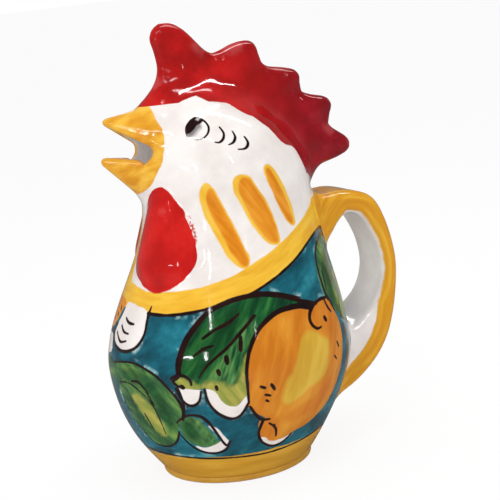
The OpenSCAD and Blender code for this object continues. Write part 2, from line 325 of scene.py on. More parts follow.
def strap_place(x, z):
    """Distance from the strap's middle line, positive towards its inner face, its thickness and width."""
    best, away = np.full(x.shape, np.inf), np.zeros(x.shape)
    thick, wide = np.full(x.shape, HANDLE_T), np.full(x.shape, HANDLE_W)
    for a, b in zip(HANDLE_LINE[:-1], HANDLE_LINE[1:]):
        d, along = to_segment(x, z, a, b)
        near = d < best
        cross = (b[0] - a[0]) * (z - a[1]) - (b[1] - a[1]) * (x - a[0])
        best = np.where(near, d, best)
        away = np.where(near, -np.sign(cross) * d, away)
        thick = np.where(near, a[2] + (b[2] - a[2]) * along, thick)
        wide = np.where(near, a[3] + (b[3] - a[3]) * along, wide)
    return away, thick, wide


def blurred(values, spread):
    """Values on a grid, softened along both axes by a bell curve whose width is in cells."""
    reach = int(3 * spread)
    bell = np.exp(-0.5 * (np.arange(-reach, reach + 1) / spread) ** 2)
    bell /= bell.sum()
    for axis in (0, 1):
        padded = np.pad(values, [(reach, reach) if k == axis else (0, 0) for k in (0, 1)], mode="edge")
        values = np.apply_along_axis(np.convolve, axis, padded, bell, "valid")
    return values


def strap_table():
    """Depth under the strap's skin and its width, on a grid seen from the side, with soft corners."""
    x = np.arange(*STRAP_SPAN_X, STRAP_CELL)
    z = np.arange(*STRAP_SPAN_Z, STRAP_CELL)
    away, thick, wide = strap_place(*np.meshgrid(x, z, indexing="ij"))
    soft = STRAP_SOFT / STRAP_CELL
    return blurred(np.abs(away) - thick / 2, soft), blurred(wide, soft)


STRAP_TABLE = strap_table()


def from_table(table, x, z):
    """Values of the grid between its points."""
    i = np.clip((x - STRAP_SPAN_X[0]) / STRAP_CELL, 0, table.shape[0] - 1.001)
    k = np.clip((z - STRAP_SPAN_Z[0]) / STRAP_CELL, 0, table.shape[1] - 1.001)
    a, b = i.astype(int), k.astype(int)
    i, k = i - a, k - b
    near = table[a, b] * (1 - k) + table[a, b + 1] * k
    far = table[a + 1, b] * (1 - k) + table[a + 1, b + 1] * k
    return near * (1 - i) + far * i


def strap(x, y, z):
    x, y, z = np.broadcast_arrays(x, y, z)
    r = HANDLE_T / 2 * STRAP_ROUND
    qx = from_table(STRAP_TABLE[0], x, z) + r
    qy = np.abs(y) - (from_table(STRAP_TABLE[1], x, z) / 2 - r)
    return np.hypot(np.maximum(qx, 0), np.maximum(qy, 0)) + np.minimum(np.maximum(qx, qy), 0) - r


def handle(x, y, z):
    return near_only(strap, (x > HANDLE_NEAR) & (np.abs(y) < HANDLE_W), x, y, z)


def outside(x, y, z):
    """The jug's outer form: the shell and all that is joined to it."""
    f = vessel(x, y, z)
    f = smooth_min(f, comb(x, y, z), BLEND["comb"])
    beaks = smooth_min(beak_form(x, y, z, UPPER_BEAK), beak_form(x, y, z, LOWER_BEAK), BLEND["beaks"])
    f = smooth_min(f, beaks, BLEND["beak"])
    for turn in WATTLE_TURNS.values():
        f = smooth_min(f, wattle(x, y, z, turn), BLEND["wattle"])
    f = smooth_min(f, handle(x, y, z), BLEND["handle"])
    return smooth_max(f, FOOT_H - z, BLEND["foot"])


def inside(x, y, z):
    """The hollow: belly, head, beaks and throat."""
    f = smooth_max(vessel(x, y, z, WALL_T), FOOT_H + FLOOR_T - z, BLEND["floor"])
    for beak in (UPPER_BEAK, LOWER_BEAK):
        f = smooth_min(f, beak_form(x, y, z, beak, BEAK_WALL_T), BLEND["throat"])
    return smooth_min(f, throat(x, y, z), BLEND["throat"])


def jug(x, y, z):
    f = smooth_max(outside(x, y, z), -mouth(x, y, z), BLEND["lip"])
    return smooth_max(f, -inside(x, y, z), BLEND["lip"])


def slopes(form, points, step=0.05):
    """A form's value and gradient at points, in millimetres."""
    x, y, z = points.T
    grad = [(form(x + dx, y + dy, z + dz) - form(x - dx, y - dy, z - dz)) / (2 * step)
            for dx, dy, dz in np.eye(3) * step]
    return form(x, y, z), np.stack(grad, -1)


def drawn(form, points):
    """The points drawn onto a form's surface."""
    for _ in range(2):
        value, grad = slopes(form, points)
        points = points - grad * (value / np.maximum((grad ** 2).sum(-1), LEAST_SLOPE))[:, None]
    return points


def surface(form, low, high, cell):
    """Quads over a form's surface."""
    x, y, z = np.meshgrid(*[np.arange(a, b, cell) for a, b in zip(low, high)], indexing="ij", sparse=True)
    grid = openvdb.FloatGrid()
    grid.copyFromArray(np.ascontiguousarray(form(x, y, z), np.float32))
    points, quads = grid.convertToQuads()
    return drawn(form, points * cell + low), quads


def add_object(name, data):
    obj = bpy.data.objects.new(name, data)
    bpy.context.scene.collection.objects.link(obj)
    return obj


def new_object(name, points, faces):
    mesh = bpy.data.meshes.new(name)
    mesh.from_pydata((np.asarray(points) * MM).tolist(), [], [tuple(f) for f in faces])
    return add_object(name, mesh)


def part_form(form, box):
    """A form that others are parted by, as a cutter."""
    return new_object("cutter", *surface(form, *box, PART_CELL))


def block(low, high, tilt=0.0):
    """A box as a cutter, turned about the Y axis at its lower level over the middle."""
    turn = Matrix.Rotation(-tilt, 3, "Y")
    pivot = Vector((0, 0, low[2]))
    corners = [turn @ (Vector((x, y, z)) - pivot) + pivot
               for x in (low[0], high[0]) for y in (low[1], high[1]) for z in (low[2], high[2])]
    faces = [(0, 1, 3, 2), (4, 6, 7, 5), (0, 4, 5, 1), (2, 3, 7, 6), (0, 2, 6, 4), (1, 5, 7, 3)]
    return new_object("cutter", corners, faces)


def cut(obj, cutter, operation):
    """A copy of obj with the cutter taken away from it, or met with it."""
    out = add_object("cutter", obj.data)
    mod = out.modifiers.new("cut", "BOOLEAN")
    mod.object, mod.operation, mod.solver = cutter, operation, "MANIFOLD"
    mesh = bpy.data.meshes.new_from_object(out.evaluated_get(bpy.context.evaluated_depsgraph_get()))
    out.modifiers.clear()
    out.data = mesh
    return out


def finer(points, quads):
    """The same surface with every face near a drawn line divided, and its new corners drawn onto the form."""
    turn, high = map_place(points)
    lines = np.minimum(body_ink(turn, high), stroke_field(EYE_INK, np.abs(turn), high, CROWN_ARC))
    near = (lines < LINE_NEAR) & (-outside(*points.T) < LINE_NEAR)
    bm = bmesh.new()
    verts = [bm.verts.new(p) for p in points]
    faces = [bm.faces.new([verts[i] for i in quad]) for quad in quads]
    edges = {e for face, quad in zip(faces, quads) if near[quad].any() for e in face.edges}
    bmesh.ops.subdivide_edges(bm, edges=list(edges), cuts=1, use_grid_fill=True)
    bm.verts.index_update()
    places = np.array([v.co for v in bm.verts], float)
    places[len(points):] = drawn(jug, places[len(points):])
    faces = [[v.index for v in f.verts] for f in bm.faces]
    bm.free()
    return places, faces


def parted(whole):
    """The jug's surface as eight closed pieces by name."""
    far = BLOCK_REACH
    shell_form = part_form(lambda x, y, z: np.maximum(vessel(x, y, z, -PART_RISE), SHELL_LOW - z), SHELL_BOX)
    wattle_forms = {name: part_form(lambda x, y, z: wattle(x, y, z, turn) - PART_RISE, WATTLE_BOX)
                    for name, turn in WATTLE_TURNS.items()}
    shell = cut(whole, shell_form, "INTERSECT")
    rest = cut(whole, shell_form, "DIFFERENCE")
    above = block((-far, -far, SEAM_Z), (far, far, far), SEAM_TILT)
    level = block((-far, -far, MOUTH_CORNER[1]), (far, far, far))
    high = block((-far, -far, HANDLE_TOP), (far, far, far))
    behind = block((HANDLE_FRONT, -far, -far), (far, far, HANDLE_TOP))
    under_comb = block((-far, -far, -far), (COMB_FOOT[0], far, COMB_FOOT[1]))
    pieces = {name: cut(rest, form, "INTERSECT") for name, form in wattle_forms.items()}
    bill = cut(rest, under_comb, "INTERSECT")
    for form in wattle_forms.values():
        bill = cut(bill, form, "DIFFERENCE")
    pieces["body"] = cut(shell, above, "DIFFERENCE")
    pieces["head"] = cut(shell, above, "INTERSECT")
    pieces["handle"] = cut(rest, behind, "INTERSECT")
    pieces["comb"] = cut(cut(rest, under_comb, "DIFFERENCE"), high, "INTERSECT")
    pieces["upper_beak"] = cut(bill, level, "INTERSECT")
    pieces["lower_beak"] = cut(bill, level, "DIFFERENCE")
    for obj in list(bpy.data.objects):
        if obj.name.startswith(("cutter", "whole")) and obj not in pieces.values():
            bpy.data.objects.remove(obj)
    for name, obj in pieces.items():
        obj.name = obj.data.name = "glazed_" + name
    return pieces


def read_numbers(items, key, width, kind):
    """One property of all items of a mesh, as rows of numbers."""
    out = np.empty(len(items) * width, kind)
    items.foreach_get(key, out)
    return out.reshape(-1, width)


def coordinates(obj):
    return read_numbers(obj.data.vertices, "co", 3, np.float32).astype(float) / MM


def shade(obj):
    """Smooth, with the field's own slopes as normals where a corner lies on the glazed surface."""
    mesh = obj.data
    value, grad = slopes(jug, coordinates(obj))
    grad /= np.maximum(np.linalg.norm(grad, axis=1), 1e-9)[:, None]
    loops = read_numbers(mesh.loops, "vertex_index", 1, np.int32)[:, 0]
    counts = read_numbers(mesh.polygons, "loop_total", 1, np.int32)[:, 0]
    flat = np.repeat(read_numbers(mesh.polygons, "normal", 3, np.float32), counts, axis=0)
    normals = grad[loops]
    on_skin = (np.abs(value[loops]) < SKIN_NEAR) & ((normals * flat).sum(1) > SKIN_FACING)
    normals[~on_skin] = flat[~on_skin]
    mesh.normals_split_custom_set(normals.tolist())


# The painted pattern. Every place is (turn in degrees from the front, height in mm). Where the photograph
# shows the jug, places were picked on it and carried onto the jug through the fitted camera.
# Millimetres to a degree of turn, near the belly, the throat and the crown
BELLY_ARC, THROAT_ARC, CROWN_ARC = 1.05, 0.85, 0.62
# How far from a form its distance is worked out, and the limit of every field
REACH, FIELD_LIMIT = 8.0, 40.0
# Faces are divided this near a drawn line, and its width is drawn by this share
LINE_NEAR, LINE_SHARE = 1.3, 1.05

RED_BORDER = [
    (0, 199), (12, 198.6), (20, 198.4), (33, 198.2), (46, 199.6), (54, 200.8), (64, 202), (71, 201.4),
    (77, 199.4), (83, 197.8), (89, 195.9), (99, 195.2), (107, 194.6), (110, 193.4), (112, 190), (115, 187.5),
    (120, 186), (123, 182), (126, 179), (127, 174.5), (128, 171), (131, 168.8), (139, 167), (142.5, 165),
    (144, 158), (146, 151.6), (160, 148), (180, 147),
]
COLLAR_TOP = [
    (-180, 139), (-150, 138), (-130, 132), (-110, 124.5), (-90, 117), (-70, 110.5), (-55, 108), (-40, 107.5),
    (-20, 108), (0, 107.5), (20, 105), (40, 105.5), (55, 107), (70, 110), (90, 117), (110, 124.5), (130, 132),
    (150, 138), (180, 139),
]
COLLAR_LOW = [
    (-180, 121), (-150, 122), (-140, 121), (-120, 115.5), (-100, 108.5), (-80, 101), (-60, 97), (-45, 95.5),
    (-30, 95), (0, 96), (25, 94.5), (35, 94.5), (45, 95), (55, 96.2), (63, 97.6), (71, 99), (81, 101),
    (91, 104.5), (103, 109), (115, 114), (125, 118), (137, 121), (150, 121.6), (165, 119.5), (180, 119),
]
# The brush line under the collar starts beside the tufts
COLLAR_LINE = [(24, 95)] + [place for place in COLLAR_LOW if place[0] > 25]
FRONT_STRIP = [
    (1, 104), (-3, 110), (-6, 119), (-7.5, 131), (-9, 144), (-11, 151), (-13, 144), (-15.5, 131), (-18, 119),
    (-22, 110), (-27, 104), (-13, 101),
]
# The beak is yellow all round where it is this far from the head
BEAK_FREE = 5.0
BASE_TOP = 18.3
BEAK_ROOT_HALF = [
    (0, 200), (12.5, 197.8), (23, 193.7), (30, 188.3), (33.6, 184.7), (34, 179), (31, 170.5), (25.7, 165),
    (20.3, 159.1), (13.6, 155.4), (7.3, 153.6), (0, 153),
]
BEAK_ROOT = BEAK_ROOT_HALF + [(-turn, high) for turn, high in BEAK_ROOT_HALF[-2:0:-1]]
WATTLE_RED = [
    (22, 156.6), (28, 155.9), (33.5, 152.8), (38.7, 147.6), (41.7, 144.2), (42.3, 141), (41.4, 139.4),
    (40.4, 138.7), (41, 137.3), (42.8, 134.6), (44, 131.5), (46, 130.5), (49.5, 130.2), (49.6, 124.7),
    (48.3, 119.5), (46.8, 114.8), (44.7, 111.1), (40.2, 108.4), (35.5, 106.1), (28.4, 104.4), (21.2, 105.2),
    (13.9, 107.5), (8.4, 112), (6, 116.8), (7.5, 125), (10.5, 131.2), (12.5, 140), (14.5, 150),
]
# The red on the throat ends this far inside the lobe's foot, and the lobe's own paint this far outside it
WATTLE_EDGE, WATTLE_SKIN = 0.2, 1.0
# Dry marks of the same red beside the wattle
WATTLE_DRY = [(44, 142), (46, 140.4), (48.6, 135), (50.6, 129), (49, 127), (47, 130), (45.6, 136), (44, 139)]
LEAVES = {
    "front": [
        (-6, 66.2), (9, 69.4), (17, 70.4), (23.5, 69.6), (33, 65.5), (39.5, 58.8), (43.6, 52.4), (44.9, 46.8),
        (43.8, 42.3), (40.4, 35.2), (37.3, 28.8), (30.5, 25.3), (21.7, 25.5), (15.2, 30.5), (9.8, 38.9),
        (5.7, 49.3), (2.8, 57.4),
    ],
    "small": [
        (41.6, 40), (43, 42.6), (47.3, 44.2), (51.9, 42.3), (56.1, 36.2), (59.4, 29.9), (59.9, 26.1),
        (54.5, 25.7), (48.2, 26.7), (43.6, 30.4), (41.4, 35.6),
    ],
    "great": [
        (41.2, 63.6), (45, 66.2), (45, 70), (46, 75.4), (48.1, 81.9), (50.7, 86.3), (55.3, 92), (59.1, 95.3),
        (64.1, 97.5), (71.1, 99.4), (79.2, 100.1), (86.6, 99.9), (95.1, 97.8), (102.7, 94.8), (109.5, 91.8),
        (115.3, 88.6), (105.2, 90.6), (96, 91.6), (89.3, 89.7), (83.8, 86.1), (80.5, 82.1), (78.2, 76.9),
        (76.3, 71.6), (75.5, 65), (75.5, 56.8), (75.2, 51), (74.2, 48.4), (70.5, 46.4), (67, 46.5),
        (63.5, 48.6), (61, 51.6), (58.8, 56), (57.2, 59), (54.6, 58.7), (51, 57.8), (47.3, 57.9),
        (44.4, 59.6),
    ],
    "behind": [
        (127, 90), (126, 102), (128, 109.5), (133, 114.5), (141, 117.5), (151, 118), (162, 114), (170, 103),
        (172, 88), (168, 76), (158, 71), (146, 72), (136, 79),
    ],
}
LEAF_LIGHT = {
    "core": [
        (17.3, 54), (23.7, 53.4), (27, 50), (29.6, 44.7), (32, 37), (32.6, 31.6), (27.4, 31.6), (24, 37),
        (20, 43.4), (16, 50),
    ],
    "lobe": [
        (55.5, 60.2), (58.6, 62.6), (62.9, 62), (66.9, 59.6), (70.3, 59), (72.4, 62.5), (74, 68), (76.6, 73),
        (75.6, 65), (75.5, 56.8), (75.2, 50), (70.5, 46.2), (66.1, 47), (61.8, 50.4), (58.8, 56),
    ],
    "tip": [
        (41, 64.4), (44.5, 65.6), (49, 64.4), (54, 60.6), (55, 58.4), (51, 57.6), (46.5, 58), (42.6, 61.4),
    ],
    "back": [(146, 96), (153, 98), (160, 93), (162, 84), (157, 78), (149, 81)],
}
# Middle greens, where the brush ran dry over the dark
LEAF_MIDDLE = {
    "great": [
        (59, 64), (64, 70.5), (70, 79), (74.5, 86), (78.6, 89), (79, 84), (77, 77.5), (75, 71), (73, 63),
        (69, 59.4), (63.5, 62),
    ],
    "small": [(50, 43.4), (55, 37.4), (59.6, 29.4), (59, 26), (54.5, 25.8), (54, 31), (50.6, 36.5)],
}
LEAF_DEEP = {
    "great": [
        (47, 68), (49.5, 76), (52.5, 84), (60, 91.4), (70, 95.6), (79, 96.6), (84, 95.6), (78, 91), (72, 84),
        (65.5, 76.6), (60, 69.5), (55, 66),
    ],
    "front": [
        (10, 66), (20, 67.4), (29, 63), (35.6, 55), (38, 47), (39, 38), (35, 34), (34, 42), (30, 51),
        (22, 58.6), (12, 60.5),
    ],
    "small": [(43.4, 41), (48, 41), (50, 36), (49, 30), (45, 31.4)],
    "behind": [(131, 92), (133, 103), (139, 110), (146, 112), (143, 102), (139, 91), (136, 84)],
}
LEMON = [
    (75.6, 46.1), (75.4, 51.6), (76, 58.8), (76.1, 64.8), (77.2, 71.4), (79.1, 76.8), (81.9, 81.8),
    (85.6, 85.4), (91.3, 88.9), (98, 89.9), (105.1, 89.4), (112, 87.2), (116.4, 88.9), (121.9, 89.9),
    (127.6, 89.7), (130.2, 88.1), (130.5, 85), (131.9, 81), (134.3, 76.2), (134.8, 68), (132.4, 59.4),
    (130, 51.1), (128, 42.1), (124, 34.8), (116.5, 29.8), (108.7, 26.8), (100.8, 25.8), (97, 23.4),
    (93.1, 21.5), (88.2, 21.5), (83.2, 25.3), (81.2, 31.2), (81, 37), (83.9, 38.6), (79.8, 41.8),
]
LEMON_LIGHT = [
    (109, 77.5), (116.3, 74), (120.5, 69), (119.4, 61.1), (116, 53.8), (108.5, 48.4), (100.8, 44.4),
    (94.4, 43), (91.6, 46.4), (92.7, 53.2), (97.4, 59), (101.2, 67), (104.7, 74.6),
]
# Darker orange round the lemon's knobs
LEMON_DEEP = {
    "knob": [
        (112.4, 84), (115, 87), (121, 88.8), (127, 88.4), (129, 84.6), (129, 78), (124, 72.6), (118, 74.6),
        (114, 79),
    ],
    "nib": [(82, 36), (82.6, 28), (86, 24), (91, 25), (92, 31), (90, 37), (86, 39)],
    "low": [(93, 37), (101, 40), (112, 44), (121, 50), (123, 44), (117, 37), (106, 33), (95, 33)],
}
# White forms between the leaves, alike on both sides, and those at the front
BUDS = {
    "cup": [(43.5, 59.5), (45.5, 53), (49.4, 50), (53.2, 52.2), (55, 58), (52, 58.8), (48, 59)],
    "scallop": [
        (56.4, 58.6), (57, 53), (59.4, 47.6), (63, 43.6), (68, 41.2), (72, 43), (75.5, 48.5), (75, 53),
        (70, 48), (64, 50.5), (61, 57),
    ],
    "gap": [
        (56, 38.5), (60, 37), (64.5, 30), (65.5, 27.5), (63.8, 24.5), (59, 21.8), (53, 22), (47.5, 26.2),
        (53, 25), (58, 26.5), (62, 29.8), (58, 35.5),
    ],
    "nib": [(82, 27), (84.4, 23.4), (90, 20.2), (96, 21), (102, 24.6), (96, 23.4), (89, 23.6), (84.5, 27)],
}
FRONT_BUDS = {
    "tuft": [
        (2.4, 98), (1, 93), (-3, 87), (-5, 82.5), (-2.6, 78.2), (3, 75.8), (8, 75), (14, 75.8), (20.6, 79),
        (24.4, 85), (24.6, 92.4), (25, 94.6), (20, 97), (10, 98.4),
    ],
    "far": [(-6, 80), (-14, 80.5), (-26, 78), (-30, 72), (-22, 68.5), (-12, 69.5), (-5, 73)],
}
FAR_STREAK = [(-2, 99), (-3, 92), (-8, 86), (-12, 83.5), (-22, 83), (-32, 84.5), (-42, 89), (-46, 98)]
# Brush lines, by their half widths at the start, the middle and the end: alike on both sides, then the tufts
BODY_INK = {
    (0.8, 0.65, 0.7): [COLLAR_LINE],
    (0.9, 0.8, 0.5): [[(24.5, 93.5), (25.6, 98.2)]],
    (0.4, 0.7, 0.9): [[
        (-6, 66.4), (9, 69.6), (17, 70.6), (23.5, 69.8), (33, 65.7), (39.5, 59), (43.6, 52.6), (45, 46.8),
        (44, 42.3),
    ]],
    (0.7, 0.4, 0.35): [[
        (40.6, 35), (37.3, 28.7), (30.5, 25.1), (21.7, 25.3), (15.2, 30.4), (9.8, 38.9), (5.7, 49.3),
        (2.8, 57.4),
    ]],
    (0.35, 0.5, 0.35): [[(5.5, 58.3), (12, 59.6), (18.1, 58.5), (26.3, 53.2), (30.4, 44.8), (32.1, 33)]],
    (0.5, 0.75, 0.5): [
        [(17.1, 61), (20.4, 61.4), (23.4, 60.4), (27.2, 56.1)], [(86, 35), (90, 31), (91, 26)],
    ],
    (0.5, 0.75, 0.4): [[(26.4, 56.5), (29.7, 49.5)]],
    (0.4, 0.55, 0.35): [[(21.9, 43.7), (25, 34.2)]],
    (0.3, 0.4, 0.3): [[(5.5, 47), (10.1, 42.4)], [(10.6, 57), (14, 51), (16, 46)]],
    (0.6, 0.85, 0.6): [[
        (40.6, 40.5), (43, 42.6), (47.4, 44.8), (53.1, 43.9), (57.3, 39), (60.6, 32.2), (64, 25.6),
        (66.1, 27.9),
    ]],
    (0.5, 0.75, 0.6): [[(40.5, 34), (44, 27.9), (49.4, 23), (56.8, 21.1), (63.8, 23.1), (66, 27.3)]],
    (0.5, 1.7, 1.5): [[(44.6, 60.4), (42, 63.2), (44.8, 66)] + LEAVES["great"][2:7]],
    (1.3, 1.2, 0.9): [LEAVES["great"][6:15] + [(118, 88.8)]],
    (0.6, 1.1, 1.3): [[
        (75.4, 49), (75.2, 56.8), (75.5, 64.8), (76.7, 71.6), (78.6, 77), (81.4, 82.2), (85.2, 86),
        (91.3, 89.6), (98, 90.8), (106, 90.4), (113, 88),
    ]],
    (0.6, 0.8, 0.5): [
        [(41, 64.5), (43.3, 65.8), (47.1, 66), (50.2, 63.7), (50.6, 61.2)],
        [(125, 89), (126.4, 84.6), (128.4, 82)], [(140, 80), (146, 90), (154, 99), (163, 105)],
    ],
    (1.1, 1.1, 1.0): [[(46, 60.4), (46.6, 60)]],
    (0.5, 0.85, 0.4): [[(52.5, 75.2), (56.7, 78.2), (61.7, 79.6)]],
    (0.6, 0.95, 0.6): [[(56.6, 83.3), (63.1, 87.2), (68.8, 89.3), (73.9, 92.7)]],
    (0.45, 0.8, 0.9): [[(54.3, 64.5), (59.2, 71), (67.5, 77.6), (74.2, 84), (81.4, 90.7)]],
    (1.0, 1.1, 0.7): [[(73.8, 76), (74.2, 82)]],
    (1.1, 1.2, 0.8): [[(67.2, 73.4), (67.4, 70.6)]],
    (1.0, 1.1, 0.8): [[(63.2, 67.4), (63.6, 65.4)]],
    (0.8, 0.9, 0.7): [[(61.6, 59.6), (61.8, 58)], [(88.6, 33.2), (89.2, 32.6)]],
    (0.5, 0.7, 0.5): [
        [(83, 101.2), (92, 99.6), (101, 96.6), (108, 94)], [(130, 92.6), (130.8, 98), (132.2, 103)],
        [(146, 84), (155, 88), (164, 89)], [(140, 94), (145, 101), (152, 107)],
        [(141, 104), (145, 109), (150, 112)],
    ],
    (0.7, 0.8, 0.5): [[(76, 46.5), (79, 41.2), (82, 38.2), (86, 37.4)]],
    (0.8, 0.75, 0.6): [[(82.6, 37.5), (81, 31), (82, 26.5), (84.6, 23.2), (90, 20.2), (96, 21), (101, 24.6)]],
    (0.6, 1.15, 0.7): [[
        (117.6, 77), (114.6, 77), (112, 79.4), (111, 82.8), (112.5, 86.2), (116.4, 88.7), (121.9, 89.9),
        (127.4, 89.3),
    ]],
    (1.1, 1.2, 0.7): [[(121.6, 80.6), (122.4, 79)]],
    (0.5, 0.9, 0.5): [[(128.6, 90), (130.6, 86), (132.6, 81.4)]],
    (0.6, 0.6, 0.5): [[(124, 60), (125.5, 58)], [(128, 66), (129, 63.4)]],
    (0.6, 0.8, 0.6): [
        [(81, 56.4), (83, 55.2)], [(83, 51.6), (85.4, 50.6)],
        [(43, 59.5), (45.5, 53), (49.4, 50), (53.2, 52.2), (54.6, 57.6)],
    ],
    (0.7, 0.8, 0.6): [[(86, 56.4), (87.4, 53.4)]],
    (0.7, 0.7, 0.6): [[(83.6, 48.4), (84.6, 47.6)]],
    (0.5, 0.7, 0.7): [[(44, 60), (45.6, 52), (45.4, 47)]],
    (0.6, 0.85, 0.7): [[(56.4, 58.8)] + BUDS["scallop"][1:6] + [(75.3, 48.8)]],
    (0.8, 0.8, 0.6): [
        [(128.6, 88), (127.6, 94), (127.4, 103), (129, 110)] + LEAVES["behind"][3:12] + [(138, 77)],
    ],
    (0.6, 0.55, 0.6): [[
        (0, 20), (12, 19.8), (25, 19.2), (40, 18.4), (55, 17.6), (70, 17), (87, 16.4), (103, 17), (120, 18.2),
        (140, 19.4), (160, 19), (180, 18.4),
    ]],
}
TUFT_INK = {
    (0.6, 0.9, 0.8): [FRONT_BUDS["tuft"][2:11] + [(25.4, 94.6)]],
    (0.6, 0.8, 0.5): [
        [(6, 91), (10, 89.2), (15, 89)], [(3, 87), (7, 84.4), (12, 84)], [(-1, 83), (5, 79.2), (11, 80.4)],
        [(-9, 91.4), (-7, 90)],
    ],
    (0.5, 0.9, 0.6): [
        [(-46, 96), (-40, 88), (-31, 83.4), (-22, 81.6), (-14, 82.2), (-8, 82), (-5, 77), (-3, 72.5)],
    ],
    (0.6, 0.9, 0.5): [[(-6, 95), (-4.4, 93.2)]],
    (0.5, 0.8, 0.5): [[(-13, 89), (-11, 87.6)], [(-19, 92), (-17, 90)]],
}
# Feather strokes on the neck: the yellow under each, then the orange over it
FEATHER_EDGES = [[
    (60.2, 157.3), (55.5, 155), (53.2, 149), (55.3, 141.2), (60.6, 132.8), (66.4, 123.3), (71.5, 117),
    (77, 113.2), (81, 114), (82, 118.5), (79.6, 122.8), (75, 131.8), (70.4, 140.2), (66.8, 147.4),
    (64, 153.8),
], [
    (83.3, 159.2), (78, 157.5), (76, 153), (77, 148.5), (79.9, 143), (84.5, 134.3), (90.4, 126.5),
    (94.5, 122.9), (99.7, 121), (103, 124), (101, 134), (96.2, 144.9), (91.6, 152.5), (88.3, 157.8),
], [
    (103.3, 162.2), (99.8, 159.7), (100, 154), (102.8, 146), (106.8, 137.5), (110.8, 131), (114.8, 128.4),
    (117.2, 130), (117.2, 137), (114.1, 145.8), (110.3, 153.9), (107.2, 160.2),
]]
FEATHERS = [[
    (61.8, 154.4), (58.6, 152), (57.6, 147.4), (60, 140.5), (65, 132), (70, 123.5), (75.2, 116.4),
    (78.8, 113.8), (81.2, 116), (79, 122.4), (74.2, 131.4), (69.6, 139.8), (66, 146.8), (63.6, 152.2),
], [
    (84, 157.6), (80.4, 155), (79.4, 150.4), (82, 143.5), (86.4, 135), (92, 127.3), (97, 122.8), (101, 122.8),
    (101.8, 127), (99.7, 134.7), (95, 144.7), (90.5, 152.2), (87.4, 156.8),
], [
    (102.8, 160.4), (100.8, 157.4), (101.2, 151), (104.4, 143), (108.4, 135.5), (112.8, 130), (115.4, 130.6),
    (114.4, 137.5), (111, 145.5), (107.2, 153), (105, 158.8),
]]
EYE_INK = {
    (0.35, 0.7, 0.4): [[
        (53.4, 181.4), (53, 183.4), (54.5, 186), (59.7, 188.5), (66.2, 189.3), (71.7, 187.4), (73.3, 184.4),
        (70.8, 181.4), (66.8, 179.5),
    ]],
    (0.4, 0.3, 0.3): [[(66.8, 179.4), (61, 179), (56.3, 180), (53.6, 181.4)]],
    (0.45, 0.65, 0.35): [
        [(82.2, 183.4), (83, 180.4), (80.5, 177.7), (76.8, 176.3), (73.7, 176.7)],
        [(90.6, 180.7), (90.3, 177.8), (86.7, 175.3), (82.7, 174.5)],
        [(97.5, 177), (97.5, 173.8), (93.3, 171.4), (88.1, 171.6)],
    ],
}
EYE_DARK = [
    (53, 182.2), (54.5, 186), (59.1, 188.4), (64.8, 189.3), (69.4, 188.7), (70.4, 187.4), (67, 186.2),
    (63.4, 185.5), (59.6, 183.6), (56.4, 182.3),
]
EYE_WASH = [
    (53.6, 182), (55, 180.4), (60.5, 179.4), (65, 180.6), (67.6, 183), (67.8, 186.4), (63.9, 186),
    (59.6, 184),
]
# Areas that are alike on both sides, by field, with the arc of the place where they lie
SIDE_AREAS = {
    "leaf": (LEAVES.values(), BELLY_ARC),
    "great": ([LEAVES["great"]], BELLY_ARC),
    "leaf_light": (LEAF_LIGHT.values(), BELLY_ARC),
    "leaf_middle": (LEAF_MIDDLE.values(), BELLY_ARC),
    "leaf_deep": (LEAF_DEEP.values(), BELLY_ARC),
    "lemon": ([LEMON], BELLY_ARC),
    "lemon_light": ([LEMON_LIGHT], BELLY_ARC),
    "lemon_deep": (LEMON_DEEP.values(), BELLY_ARC),
    "feather": (FEATHERS, THROAT_ARC),
    "feather_edge": (FEATHER_EDGES, THROAT_ARC),
    "eye_dark": ([EYE_DARK], CROWN_ARC),
    "eye_wash": ([EYE_WASH], CROWN_ARC),
}


def map_place(points):
    """Turn in degrees, from the front towards the right side, and height."""
    x, y, z = points.T
    lean, a, b = section(z)
    return np.degrees(np.arctan2(-y / b, (lean - x) / a)), z


def near_box(line, x, high):
    """Which places are within reach of the box round a line."""
    low, top = line.min(0) - REACH, line.max(0) + REACH
    return (x > low[0]) & (x < top[0]) & (high > low[1]) & (high < top[1])


def area_field(areas, turn, high, arc):
    """Distance to the nearest area, negative inside, up to REACH."""
    best = np.full(len(turn), REACH)
    x = turn * arc
    for area in areas:
        outline = catmull(area, CURVE_STEPS, closed=True) * (arc, 1)
        near = near_box(outline, x, high)
        best[near] = np.minimum(best[near], outline_distance(outline, x[near], high[near]))
    return best


def stroke_field(strokes, turn, high, arc, share=1.0):
    """Distance to the nearest brush line's edge, negative inside it."""
    best = np.full(len(turn), REACH)
    x = turn * arc
    for points, widths in [(points, widths) for widths, lines in strokes.items() for points in lines]:
        line = catmull(points, STROKE_STEPS) * (arc, 1)
        half = np.interp(np.linspace(0, 1, len(line)), (0, 0.5, 1), widths) * share
        near = near_box(line, x, high)
        for a, b, ra, rb in zip(line[:-1], line[1:], half[:-1], half[1:]):
            d, along = to_segment(x[near], high[near], a, b)
            best[near] = np.minimum(best[near], d - ra - (rb - ra) * along)
    return best


def band(turn, high, points):
    """Height above a line round the jug."""
    return high - np.interp(turn, *np.array(points, float).T)


def body_ink(turn, high):
    """The lines of the front tufts stand on one side only. The others are the same on both sides."""
    return np.minimum(stroke_field(BODY_INK, np.abs(turn), high, BELLY_ARC, LINE_SHARE),
                      stroke_field(TUFT_INK, turn, high, BELLY_ARC, LINE_SHARE))


